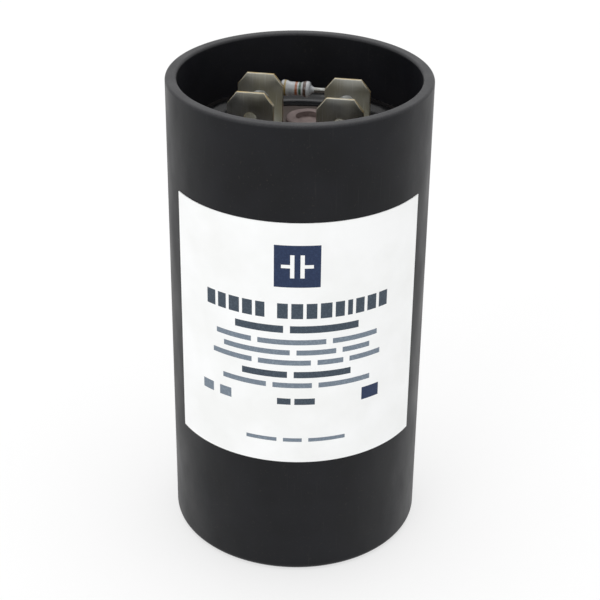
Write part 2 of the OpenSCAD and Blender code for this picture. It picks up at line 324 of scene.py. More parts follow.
@dataclass(frozen=True)
class MouldedPhenolic(Finish):
    """Phenolic compound pressed in a polished tool.

    The eye gets a deep, slightly soft gloss with faint orange peel, the odd fleck of filler near
    the surface, hairlines from handling, and corners that are rubbed paler.

    Attributes:
        deep: Colour of the resin.
        pale: Colour where it is thinly mottled.
        fleck: Colour of filler that shows through.
        hairline: Colour of a fine scratch.
        rubbed: Colour of a worn corner.
        mottle: Width of the mottling.
        fleck_size: Width of a fleck.
        hair: Width of a hairline.
        hair_aspect: Its width over its length.
        hair_patch: Width of a patch of hairlines.
        scuff: Width of a scuff on a worn corner.
        haze: Width of a patch of lower gloss.
        haze_aspect: Its width over its length.
        peel: Width of the orange peel.
        peel_depth: Height of the orange peel.
        edges: Heights of the corners that get rubbed.
        edge_reach: Width of the rubbed band.
        soft: Radius that the tool leaves on the edges of a kept solid, or 0 where the mesh has it.
        soft_samples: Rays that feel for such an edge.
    """

    rough: Pair = (0.38, 0.5)
    deep: str = "#0b0c10"
    pale: str = "#101116"
    fleck: str = "#1f1d1c"
    hairline: str = "#1b1b1d"
    rubbed: str = "#424244"
    mottle: float = 6.0
    fleck_size: float = 0.3
    # A real hairline is some 0.02 mm wide. It is drawn at 0.2 mm, or it would not show.
    hair: float = 0.2
    hair_aspect: float = 0.03
    hair_patch: float = 9.0
    scuff: float = 0.2
    haze: float = 4.0
    haze_aspect: float = 0.5
    peel: float = 0.9
    peel_depth: float = 0.004
    edges: tuple[float, ...] = ()
    edge_reach: float = 0.45
    soft: float = 0.0
    soft_samples: int = 6

    def wear(self, tree: Tree) -> list[Socket]:
        """Finds the corners that get rubbed.

        Args:
            tree: Node tree of the material.

        Returns:
            For each corner, a mask that is 1 where it is worn.
        """
        if not self.edges:
            return []
        height = add_node(tree, "SeparateXYZ", inputs={0: place(tree)}).outputs["Z"]
        scuffs = blotches(tree, self.scuff, Spread.FAINT, detail=2.0)
        found = []
        for edge in self.edges:
            away = add_node(tree, "Math", {"operation": "SUBTRACT"}, {0: height, 1: edge * MM}).outputs[0]
            away = add_node(tree, "Math", {"operation": "ABSOLUTE"}, {0: away}).outputs[0]
            near = {"Value": away, "From Max": self.edge_reach * MM, "To Min": 1.0, "To Max": 0.0}
            band = add_node(tree, "MapRange", inputs=near).outputs["Result"]
            worn = add_node(tree, "Math", {"operation": "MULTIPLY"}, {0: band, 1: scuffs}).outputs[0]
            found.append(worn)
        return found

    def dress(self, tree: Tree) -> Skin:
        """Mottles the resin, scatters filler, scratches it, rubs the corners and adds orange peel.

        Args:
            tree: Node tree of the material.

        Returns:
            What the pattern feeds to the shader.
        """
        lines = blotches(tree, self.hair, Spread.SCRATCHES, self.hair_aspect, detail=1.0)
        patches = blotches(tree, self.hair_patch, Spread.ISLANDS)
        scratches = add_node(tree, "Math", {"operation": "MULTIPLY"}, {0: lines, 1: patches}).outputs[0]
        layers = [
            (blotches(tree, self.mottle), self.pale),
            (blotches(tree, self.fleck_size, Spread.SPECKS, detail=1.0), self.fleck),
            (scratches, self.hairline),
            *((worn, self.rubbed) for worn in self.wear(tree)),
        ]
        relief: dict[str | int, Any] = {
            "Distance": self.peel_depth * MM,
            "Height": blotches(tree, self.peel, Spread.SOFT, detail=2.0),
        }
        if self.soft:
            edge = add_node(tree, "Bevel", {"samples": self.soft_samples}, {"Radius": self.soft * MM})
            relief["Normal"] = edge.outputs["Normal"]
        haze = blotches(tree, self.haze, Spread.BROAD, self.haze_aspect)
        return Skin(layered(tree, self.deep, layers), haze, relief)


@dataclass(frozen=True)
class PrintedFilm(Finish):
    """White polyester film, calendered smooth and laid on with adhesive.

    The eye gets an even, faintly cool white with a soft sheen and shallow waves from the glue.

    Attributes:
        white: Colour of the film.
        aged: Colour where it has yellowed.
        stain: Width of a yellowed patch.
        sheen: Width of a patch of lower sheen.
        wave: Width of the waves.
        wave_aspect: Their width over their length.
        wave_depth: Height of the waves.
    """

    rough: Pair = (0.40, 0.52)
    white: str = "#f8f9f9"
    aged: str = "#f2f3f2"
    stain: float = 7.0
    sheen: float = 1.2
    wave: float = 5.0
    wave_aspect: float = 0.45
    wave_depth: float = 0.012

    def dress(self, tree: Tree) -> Skin:
        """Yellows the film a little and waves it over its glue.

        Args:
            tree: Node tree of the material.

        Returns:
            What the pattern feeds to the shader.
        """
        waves = blotches(tree, self.wave, Spread.SOFT, self.wave_aspect, detail=1.0)
        return Skin(
            colour=layered(tree, self.white, [(blotches(tree, self.stain), self.aged)]),
            haze=blotches(tree, self.sheen),
            relief={"Distance": self.wave_depth * MM, "Height": waves},
        )


@dataclass(frozen=True)
class ScreenInk(Finish):
    """Ink screened on the film.

    The eye gets a flat tone, a little thin where the mesh left pinholes.

    Attributes:
        full: Colour of a full layer.
        thin: Colour where the layer is thin.
        pinhole: Width of a thin place.
    """

    rough: Pair = (0.38, 0.5)
    specular: float = 0.3
    full: str = "#2c3550"
    thin: str = "#4b5570"
    # A real pinhole is some 0.08 mm wide. It is drawn at 0.25 mm, or it would not show.
    pinhole: float = 0.25

    def dress(self, tree: Tree) -> Skin:
        """Thins the layer in places.

        Args:
            tree: Node tree of the material.

        Returns:
            What the pattern feeds to the shader.
        """
        thin = blotches(tree, self.pinhole, Spread.PINHOLES)
        return Skin(layered(tree, self.full, [(thin, self.thin)]), thin)


@dataclass(frozen=True)
class TinPlate(Finish):
    """Brass strip plated with tin before it is stamped.

    The eye gets a soft grey silver with a warm cast where the tin is thin, faint lines along the
    rolling direction, and brighter rubs where a connector was pushed on.

    Attributes:
        tin: Colour of clean tin.
        warm: Colour where brass shows through.
        rub: Colour of a bright rub.
        cast: Width of a warm patch.
        dulling: Width of a duller patch.
        rub_width: Width of a rub.
        rub_aspect: Its width over its length.
        line: Width of a rolling line.
        line_aspect: Its width over its length.
        line_depth: Height of a rolling line.
    """

    rough: Pair = (0.3, 0.42)
    metallic: float = 1.0
    tin: str = "#bbbbb6"
    warm: str = "#b2ae9d"
    rub: str = "#c8c7c2"
    cast: float = 4.0
    dulling: float = 2.2
    rub_width: float = 0.16
    rub_aspect: float = 0.05
    # Real rolling lines are some 0.02 mm wide. They are drawn at 0.12 mm, or they would not show.
    line: float = 0.12
    line_aspect: float = 0.03
    line_depth: float = 0.0015

    def dress(self, tree: Tree) -> Skin:
        """Warms the tin, draws the rolling lines along the strip and rubs it.

        Args:
            tree: Node tree of the material.

        Returns:
            What the pattern feeds to the shader.
        """
        rubs = blotches(tree, self.rub_width, Spread.STREAKS, self.rub_aspect, detail=1.0, flat=STRIP)
        layers = [(blotches(tree, self.cast, Spread.BROAD, detail=1.5), self.warm), (rubs, self.rub)]
        lines = blotches(tree, self.line, Spread.FINE, self.line_aspect, detail=2.0, flat=STRIP)
        return Skin(
            colour=layered(tree, self.tin, layers),
            haze=blotches(tree, self.dulling, Spread.BROAD),
            relief={"Distance": self.line_depth * MM, "Height": lines},
        )


@dataclass(frozen=True)
class ShearedBrass(Finish):
    """Cut edge of the plated strip, where the brass core is bare.

    The eye gets a narrow yellow line with the drag marks of the punch across it.

    Attributes:
        brass: Colour of fresh brass.
        smeared: Colour where tin was dragged over the cut.
        smear: Width of a smear of tin.
        drag: Width of a drag mark.
        drag_depth: Depth of a drag mark.
    """

    rough: Pair = (0.32, 0.5)
    metallic: float = 1.0
    brass: str = "#a38d5a"
    smeared: str = "#a9a493"
    smear: float = 1.5
    # Real drag marks are some 0.03 mm wide. They are drawn at 0.12 mm, or they would not show.
    drag: float = 0.12
    drag_depth: float = 0.002

    def dress(self, tree: Tree) -> Skin:
        """Smears tin over the brass and roughens the cut.

        Args:
            tree: Node tree of the material.

        Returns:
            What the pattern feeds to the shader.
        """
        marks = blotches(tree, self.drag, Spread.BROAD)
        smears = blotches(tree, self.smear, Spread.BROAD, detail=1.0)
        return Skin(
            colour=layered(tree, self.brass, [(smears, self.smeared)]),
            haze=marks,
            relief={"Distance": self.drag_depth * MM, "Height": marks},
        )


@dataclass(frozen=True)
class BareMetal(Finish):
    """Headed, drawn or flowed metal with no grain direction.

    The eye gets a plain grey metal with uneven dulling and tiny dents.

    Attributes:
        clean: Colour of clean metal.
        dull: Colour of a dulled patch.
        stain: Width of a dulled patch.
        sheen: Width of a patch of lower gloss.
        dent: Width of a dent.
        dent_depth: Depth of a dent.
    """

    rough: Pair = (0.28, 0.48)
    metallic: float = 1.0
    clean: str = "#c4c4c2"
    dull: str = "#8f8e8a"
    stain: float = 1.2
    sheen: float = 0.9
    dent: float = 0.4
    dent_depth: float = 0.006

    def dress(self, tree: Tree) -> Skin:
        """Dulls the metal and dents it.

        Args:
            tree: Node tree of the material.

        Returns:
            What the pattern feeds to the shader.
        """
        stains = blotches(tree, self.stain, Spread.PATCHES)
        dents = blotches(tree, self.dent, Spread.BROAD, detail=1.0)
        return Skin(
            colour=layered(tree, self.clean, [(stains, self.dull)]),
            haze=blotches(tree, self.sheen),
            relief={"Distance": self.dent_depth * MM, "Height": dents},
        )


@dataclass(frozen=True)
class DippedCoat(Finish):
    """Epoxy coat that a resistor is dipped in, with its bands rolled on.

    The eye gets a smooth glossy skin, a little lumpy, in one clear colour.

    Attributes:
        colour: Colour of the coat.
        shade: Colour where it is thick.
        lump: Width of a lump.
        lump_depth: Height of a lump.
        sheen: Width of a patch of lower gloss.
    """

    rough: Pair = (0.24, 0.36)
    coat: float = 0.4
    colour: str = "#a3a5a6"
    shade: str = "#94979a"
    lump: float = 1.3
    lump_depth: float = 0.02
    sheen: float = 0.6

    def dress(self, tree: Tree) -> Skin:
        """Thickens the coat in places.

        Args:
            tree: Node tree of the material.

        Returns:
            What the pattern feeds to the shader.
        """
        lumps = blotches(tree, self.lump, Spread.BROAD, detail=1.0)
        return Skin(
            colour=layered(tree, self.colour, [(lumps, self.shade)]),
            haze=blotches(tree, self.sheen),
            relief={"Distance": self.lump_depth * MM, "Height": lumps},
        )


@dataclass(frozen=True)
class SoftStock(Finish):
    """Rubber, pitch, fibre or paper: a matt stock with a fine tooth.

    The eye gets a dry surface, mottled by bloom or fibre.

    Attributes:
        base: Main colour.
        bloom: Colour of the mottling.
        tooth: Width of the surface's tooth.
        tooth_depth: Depth of the tooth.
        mottle: Width of the mottling.
    """

    rough: Pair = (0.55, 0.75)
    base: str = "#6f625f"
    bloom: str = "#857874"
    # The real tooth is some 0.05 mm wide. It is drawn at 0.2 mm, or it would not show.
    tooth: float = 0.2
    tooth_depth: float = 0.01
    mottle: float = 1.5

    def dress(self, tree: Tree) -> Skin:
        """Mottles the stock and gives it tooth.

        Args:
            tree: Node tree of the material.

        Returns:
            What the pattern feeds to the shader.
        """
        bloom = blotches(tree, self.mottle)
        tooth = blotches(tree, self.tooth, Spread.FINE)
        return Skin(
            colour=layered(tree, self.base, [(bloom, self.bloom)]),
            haze=bloom,
            relief={"Distance": self.tooth_depth * MM, "Height": tooth},
        )


# Mesh building


def arc(centre: Point, radius: float, start: float, end: float, steps: int) -> list[Point]:
    """Points along a circular arc.

    Args:
        centre: Middle of the circle.
        radius: Its radius.
        start: First angle in degrees.
        end: Last angle in degrees.
        steps: Number of chords.

    Returns:
        Points from start to end.
    """
    angles = [math.radians(start + (end - start) * i / steps) for i in range(steps + 1)]
    return [(centre[0] + radius * math.cos(a), centre[1] + radius * math.sin(a)) for a in angles]


def add_piece(
    name: str,
    bm: bmesh.types.BMesh,
    finishes: Sequence[Finish],
    replaces: Iterable[str] = (),
    crease: float = 35.0,
) -> Piece:
    """Makes a piece of the part from a mesh in millimetres and hangs it on the frame.

    Args:
        name: Name of the piece.
        bm: Its mesh, which is freed.
        finishes: Finish of each material index.
        replaces: Frame nodes that the piece stands for.
        crease: Angle in degrees above which an edge stays sharp.

    Returns:
        The new object.
    """
    bmesh.ops.scale(bm, vec=(MM, MM, MM), verts=bm.verts)
    bmesh.ops.recalc_face_normals(bm, faces=bm.faces)
    mesh = bpy.data.meshes.new(name)
    bm.to_mesh(mesh)
    bm.free()
    mesh.polygons.foreach_set("use_smooth", [True] * len(mesh.polygons))
    mesh.set_sharp_from_angle(angle=math.radians(crease))
    for finish in finishes:
        mesh.materials.append(finish.material())
    piece = bpy.data.objects.new(name, mesh)
    bpy.context.scene.collection.objects.link(piece)
    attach(piece, BODY)
    for node in replaces:
        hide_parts(node)
    return piece


def dress_node(nodes: dict[str, Piece], name: str, finish: Finish) -> Piece:
    """Puts a finish on a node that keeps its solid.

    Args:
        nodes: The frame's nodes.
        name: Node to dress.
        finish: Its finish.

    Returns:
        The node's object.
    """
    nodes[name].material_slots[0].material = finish.material()
    return nodes[name]


def lathe(
    bm: bmesh.types.BMesh,
    profile: Sequence[Point],
    segments: int,
    frame: Matrix,
    closed: bool = False,
    bend: Callable[[float, float, float], Vector] | None = None,
    paint: Callable[[int], int] | None = None,
) -> None:
    """Turns a profile about an axis.

    Args:
        bm: Mesh that gets the faces.
        profile: Radius and height of each point.
        segments: Steps round the axis.
        frame: Places the axis, which is Z before it.
        closed: True to join the last point to the first.
        bend: Takes angle, radius and height to a point, in place of a true circle.
        paint: Takes the number of a profile step to its material index.
    """
    rings: list[list[bmesh.types.BMVert]] = []
    for radius, height in profile:
        if radius < POLE:
            rings.append([bm.verts.new(frame @ Vector((0, 0, height)))])
            continue
        ring = []
        for k in range(segments):
            turn = 2 * math.pi * k / segments
            spot = Vector((radius * math.cos(turn), radius * math.sin(turn), height))
            ring.append(bm.verts.new(frame @ (bend(turn, radius, height) if bend else spot)))
        rings.append(ring)
    steps = list(zip(rings, rings[1:]))
    if closed:
        steps.append((rings[-1], rings[0]))
    for number, (low, high) in enumerate(steps):
        for k in range(segments):
            after = (k + 1) % segments
            corners = [low[k % len(low)], low[after % len(low)], high[after % len(high)], high[k % len(high)]]
            unique = list(dict.fromkeys(corners))
            if len(unique) > 2:
                bm.faces.new(unique).material_index = paint(number) if paint else 0


def tube(bm: bmesh.types.BMesh, path: Sequence[Vector], radius: float, sides: int) -> None:
    """Sweeps a round wire along a path, with closed ends.

    Args:
        bm: Mesh that gets the faces.
        path: Points of the wire's middle.
        radius: Radius of the wire.
        sides: Steps round the wire.
    """
    rings = []
    turns = [2 * math.pi * k / sides for k in range(sides)]
    across = None
    for i, spot in enumerate(path):
        ahead = (path[min(i + 1, len(path) - 1)] - path[max(i - 1, 0)]).normalized()
        start = across if across else Vector((0, 0, 1))
        across = (start - ahead * start.dot(ahead)).normalized()
        other = ahead.cross(across)
        ring = [spot + (across * math.cos(t) + other * math.sin(t)) * radius for t in turns]
        rings.append([bm.verts.new(corner) for corner in ring])
    for low, high in zip(rings, rings[1:]):
        for k in range(sides):
            after = (k + 1) % sides
            bm.faces.new((low[k], low[after], high[after], high[k]))
    bm.faces.new(rings[0])
    bm.faces.new(rings[-1])


# Case and label


@dataclass
class Case:
    """The moulded cup: foot, wall, well and bore in one turned skin.

    Attributes:
        radius: Outside radius, a hundredth under the solid so that it stays inside its facets.
        height: Foot to rim.
        foot_land: Width of the ring that it stands on.
        foot_recess: Depth of the recess inside that ring.
        recess_round: Radius where the recess meets the ring.
        land_round: Radius of the ring's inner edge.
        foot_round: Radius of the foot's outer edge.
        rim_round: Radius of the rim's edges.
        well_radius: Radius of the open well.
        ledge: Height of the ledge that carries the cover.
        bore_radius: Radius below the ledge.
        floor: Height of the floor inside.
        floor_round: Radius between floor and bore.
        rub: Height at which the foot's edge is rubbed most.
        segments: Steps round the wall.
    """

    radius: float = 18.24
    height: float = 69.85
    foot_land: float = 3.0
    foot_recess: float = 0.5
    recess_round: float = 0.3
    land_round: float = 0.2
    foot_round: float = 1.0
    rim_round: float = 0.4
    well_radius: float = 16.65
    ledge: float = 55.25
    bore_radius: float = 15.15
    floor: float = 2.5
    floor_round: float = 1.0
    rub: float = 0.2
    segments: int = 192

    def profile(self) -> list[Point]:
        """Follows the cup from the foot's middle to the floor's middle.

        Returns:
            Radius and height of each point.
        """
        land = self.radius - self.foot_land
        hollow = (land - self.recess_round, self.foot_recess - self.recess_round)
        shoulder = self.height - self.rim_round
        corner = (self.bore_radius - self.floor_round, self.floor + self.floor_round)
        return [
            (0, self.foot_recess),
            (land - self.recess_round, self.foot_recess),
            *arc(hollow, self.recess_round, 90, 0, steps=5)[1:],
            *arc((land + self.land_round, self.land_round), self.land_round, 180, 270, steps=5)[1:],
            *arc((self.radius - self.foot_round, self.foot_round), self.foot_round, -90, 0, steps=10),
            *arc((self.radius - self.rim_round, shoulder), self.rim_round, 0, 90, steps=8),
            *arc((self.well_radius + self.rim_round, shoulder), self.rim_round, 90, 180, steps=8),
            (self.well_radius, self.ledge),
            (self.bore_radius, self.ledge),
            *arc(corner, self.floor_round, 0, -90, steps=6),
            (0, self.floor),
        ]

    def build(self) -> list[Piece]:
        """Turns the cup.

        Returns:
            The case.
        """
        mesh = bmesh.new()
        lathe(mesh, self.profile(), self.segments, Matrix.Identity(4))
        # Black phenolic straight from the press: a low sheen, a paler ground rim and a rubbed foot.
        black = MouldedPhenolic("moulded_phenolic_black", specular=0.22, edges=(self.rub, self.height))
        return [add_piece("case_moulded", mesh, [black], ["case"], crease=40)]


@dataclass(frozen=True)
class Field:
    """A rectangle of the label.

    Attributes:
        left: Left edge along the wall, from the label's middle.
        right: Right edge along the wall.
        low: Lower edge above the foot.
        high: Upper edge above the foot.
        ink: What it is printed with.
    """

    left: float
    right: float
    low: float
    high: float
    ink: Ink

    def holds(self, along: float, height: float) -> bool:
        """True where a point of the label lies in the field."""
        return self.left < along < self.right and self.low < height < self.high


@dataclass(frozen=True)
class PrintRow:
    """A centred row of bars that stands for a line of print.

    Attributes:
        height: Height of the row's middle above the foot.
        tall: Height of a bar.
        half: Half the width of the row.
        groups: Widths of the bars in each group, as shares of the row.
        ink: Ink of the row.
        gap: Space between bars of a group.
        space: Space between groups.
    """

    height: float
    tall: float
    half: float
    groups: tuple[tuple[float, ...], ...]
    ink: Ink
    gap: float = 0.45
    space: float = 0.9

    def fields(self) -> list[Field]:
        """Sets the row out from left to right.

        Returns:
            The row's bars.
        """
        gaps = sum(len(group) - 1 for group in self.groups) * self.gap
        room = 2 * self.half - gaps - (len(self.groups) - 1) * self.space
        unit = room / sum(sum(group) for group in self.groups)
        low, high = self.height - self.tall / 2, self.height + self.tall / 2
        left = -self.half
        found = []
        for group in self.groups:
            for bar in group:
                right = left + bar * unit
                found.append(Field(left, right, low, high, self.ink))
                left = right + self.gap
            left += self.space - self.gap
        return found


@dataclass(frozen=True)
class CircuitSign:
    """The circuit sign of a capacitor, left bare in a dark square.

    Attributes:
        height: Height of its middle above the foot.
        square: Half the side of the square.
        gap: Half the space between the plates.
        plate: Thickness of a plate.
        tall: Half the height of a plate.
        lead: Length of a lead.
        thick: Half the thickness of a lead.
    """

    height: float = 50.1
    square: float = 3.1
    gap: float = 0.4
    plate: float = 0.55
    tall: float = 1.7
    lead: float = 1.2
    thick: float = 0.25

    def fields(self) -> list[Field]:
        """Sets the sign out about the label's middle.

        Returns:
            The square, two plates and two leads.
        """
        low, high = self.height - self.square, self.height + self.square
        found = [Field(-self.square, self.square, low, high, Ink.NAVY)]
        outer = self.gap + self.plate
        for side in Side:
            ends = [side.value * x for x in (self.gap, outer, outer + self.lead)]
            for (a, b), reach in zip(zip(ends, ends[1:]), (self.tall, self.thick)):
                found.append(Field(min(a, b), max(a, b), self.height - reach, self.height + reach, Ink.BARE))
        return found


@dataclass
class Label:
    """White film on the front of the case, printed with plain fields.

    Attributes:
        case: The case that it is laid on.
        film: Thickness of the film.
        half: Half the label's width along the wall.
        low: Lower edge above the foot.
        high: Upper edge above the foot.
        chord: Longest step along the wall.
        rise: Longest step up the wall.
        rows: Rows of print.
        sign: Sign above them.
        blocks: Small blocks beside them.
    """

    case: Case
    film: float = 0.12
    half: float = 19.5
    low: float = 19.2
    high: float = 56.4
    chord: float = 0.5
    rise: float = 4.0
    rows: tuple[PrintRow, ...] = (
        PrintRow(
            43.4,
            2.3,
            13.2,
            ((1, 0.9, 1.1, 1, 0.9), (1, 1.1, 1, 1.1, 0.9, 0.5, 0.9, 1, 1)),
            Ink.SLATE,
            space=1.7,
        ),
        PrintRow(40.6, 1.1, 8.6, ((5,), (7,)), Ink.SLATE),
        PrintRow(38.6, 0.8, 11.6, ((4,), (7,), (5,)), Ink.GREY),
        PrintRow(37.0, 0.8, 10.4, ((7,), (4,), (3,)), Ink.GREY),
        PrintRow(35.4, 0.8, 12.2, ((5,), (6,), (3,), (4,)), Ink.GREY),
        PrintRow(33.5, 1.0, 7.6, ((4,), (5,)), Ink.SLATE),
        PrintRow(31.8, 0.8, 10.6, ((6,), (5,), (7,)), Ink.GREY),
        PrintRow(29.2, 1.0, 2.6, ((2,), (3,)), Ink.SLATE, space=0.5),
        PrintRow(22.9, 0.6, 7.0, ((5,), (3,), (6,)), Ink.GREY),
    )
    sign: CircuitSign = CircuitSign()
    blocks: tuple[Field, ...] = (
        Field(-14.2, -12.3, 28.4, 29.9, Ink.GREY),
        Field(-11.2, -9.3, 28.4, 29.9, Ink.GREY),
        Field(9.4, 12.2, 28.2, 30.2, Ink.NAVY),
    )

    def fields(self) -> list[Field]:
        """Every field of the print, where a later one lies over an earlier one."""
        return [bar for row in self.rows for bar in row.fields()] + self.sign.fields() + list(self.blocks)

    def on_wall(self, along: float, height: float, lift: float) -> Vector:
        """Finds a point on the label.

        Args:
            along: Distance from the label's middle along the wall.
            height: Height above the foot.
            lift: Height above the case's wall.

        Returns:
            The point.
        """
        turn = along / self.case.radius - math.pi / 2
        reach = self.case.radius + lift
        return Vector((reach * math.cos(turn), reach * math.sin(turn), height))

    @staticmethod
    def lines(low: float, high: float, marks: Iterable[float], step: float) -> list[float]:
        """Grid lines between two edges: one at every mark, and more where the marks are far apart.

        Args:
            low: First line.
            high: Last line.
            marks: Lines that the print needs.
            step: Longest distance between lines.

        Returns:
            The lines in order.
        """
        needed = sorted({round(mark, 4) for mark in (low, high, *marks)})
        found = [needed[0]]
        for a, b in zip(needed, needed[1:]):
            parts = max(1, math.ceil((b - a) / step))
            found += [a + (b - a) * (i + 1) / parts for i in range(parts)]
        return found

    @staticmethod
    def finishes() -> list[Finish]:
        """Names the film and its inks.

        Returns:
            A finish for each kind of ink, in their order.
        """
        return [
            # Satin white film: the brightest thing on the part, with no mirror gloss.
            PrintedFilm("polyester_film_white"),
            # Dark blue ink: reads as one solid block.
            ScreenInk("screen_ink_navy", full="#1a2b4c", thin="#283a5b"),
            # Blue grey ink of the heavy lines: a step softer than the block.
            ScreenInk("screen_ink_slate", full="#37434f", thin="#4b5763"),
            # Pale ink of the fine lines: thin enough for the film to show through.
            ScreenInk("screen_ink_grey", full="#6f7b88", thin="#85919c"),
        ]

    def build(self) -> list[Piece]:
        """Makes the film with its print in the faces.

        Returns:
            The label.
        """
        fields = self.fields()
        across = self.lines(-self.half, self.half, (e for f in fields for e in (f.left, f.right)), self.chord)
        up = self.lines(self.low, self.high, (e for f in fields for e in (f.low, f.high)), self.rise)
        film = bmesh.new()
        front = [[film.verts.new(self.on_wall(x, z, self.film)) for z in up] for x in across]
        back = [[film.verts.new(self.on_wall(x, z, 0.0)) for z in up] for x in across]
        for i in range(len(across) - 1):
            for j in range(len(up) - 1):
                corners = ((i, j), (i + 1, j), (i + 1, j + 1), (i, j + 1))
                middle = (across[i] + across[i + 1]) / 2, (up[j] + up[j + 1]) / 2
                ink = next((f.ink for f in reversed(fields) if f.holds(*middle)), Ink.BARE)
                film.faces.new([front[a][b] for a, b in corners]).material_index = ink.value
                film.faces.new([back[a][b] for a, b in reversed(corners)])
        last_x, last_z = len(across) - 1, len(up) - 1
        rim = [(i, 0) for i in range(last_x)] + [(last_x, j) for j in range(last_z)]
        rim += [(i, last_z) for i in range(last_x, 0, -1)] + [(0, j) for j in range(last_z, 0, -1)]
        for (a, b), (c, d) in zip(rim, rim[1:] + rim[:1]):
            film.faces.new((front[a][b], back[a][b], back[c][d], front[c][d]))
        return [add_piece("label_printed", film, self.finishes(), ["label"])]


# Well


@dataclass
class Cover:
    """Terminal cover with its vent plug and sealing bead.

    Attributes:
        case: The case that it closes.
        turn: Turn of the cover in the case, in degrees.
        top: Height of the cover's upper face.
        bead: Width and height of the sealing bead.
        lip: Thickness of the bead's thin edges.
        creep_in: How far the bead's edge wanders over the cover.
        creep_up: How far it wanders up the wall.
        swells: Waves of that wander: how many to the ring's radius, seed and weight.
        segments: Steps round the bead.
    """

    case: Case
    turn: float = -9.0
    top: float = 59.45
    bead: float = 2.0
    lip: float = 0.2
    creep_in: float = 0.25
    creep_up: float = 0.2
    swells: tuple[Triple, ...] = ((2.2, 0.7, 1.0), (6.0, 3.1, 0.5))
    segments: int = 180

    def frame(self) -> Matrix:
        """Turns a point that was placed on the unturned cover."""
        return Matrix.Rotation(math.radians(self.turn), 4, "Z")

    def build(self, nodes: dict[str, Piece]) -> list[Piece]:
        """Gives the cover and the vent plug their finish and pours the bead.

        Args:
            nodes: The frame's nodes.

        Returns:
            Cover, plug and bead.
        """
        # Brown phenolic from a matt tool: dry and speckled with filler, with softened edges.
        brown = MouldedPhenolic(
            "moulded_phenolic_brown",
            deep="#524a46",
            pale="#5d544f",
            fleck="#786c63",
            hairline="#675c54",
            rough=(0.5, 0.68),
            soft=0.12,
        )
        # Rose rubber: a dull, dusty pink that sets the plug off from the cover.
        rose = SoftStock("vulcanised_rubber_rose", base="#756765", bloom="#877976", mottle=1.2)
        return [dress_node(nodes, "cover", brown), dress_node(nodes, "vent_plug", rose), self.pour()]

    def creep(self, turn: float, radius: float, height: float) -> Vector:
        """Moves the bead's free surface in and out along the ring.

        Args:
            turn: Angle round the ring.
            radius: Radius of the even bead.
            height: Height of the even bead.

        Returns:
            The point on the uneven bead.
        """
        x, y = math.cos(turn), math.sin(turn)
        wave = sum(
            weight * noise.noise(Vector((x * waves, y * waves, seed))) for waves, seed, weight in self.swells
        )
        free = (self.case.well_radius - radius) / self.bead
        rise = (height - self.top) / self.bead
        inward = radius - self.creep_in * wave * free
        return Vector((inward * x, inward * y, height + self.creep_up * wave * rise))

    def pour(self) -> Piece:
        """Makes the sealing bead, which creeps unevenly up the wall and over the cover.

        Returns:
            The bead.
        """
        mesh = bmesh.new()
        wall = self.case.well_radius
        corner = (wall - self.bead, self.top + self.bead)
        profile = [
            (wall, self.top),
            (corner[0], self.top),
            *arc(corner, self.bead - self.lip, -90, 0, steps=10),
            (wall, corner[1]),
        ]
        lathe(mesh, profile, self.segments, Matrix.Identity(4), closed=True, bend=self.creep)
        # Poured epoxy: a wet-looking black line round the well, with long lazy ripples.
        black = MouldedPhenolic(
            "poured_epoxy_black",
            deep="#121214",
            pale="#18181a",
            rough=(0.16, 0.28),
            peel=2.0,
            peel_depth=0.03,
        )
        return add_piece("sealing_bead_poured", mesh, [black], ["sealing_bead"])


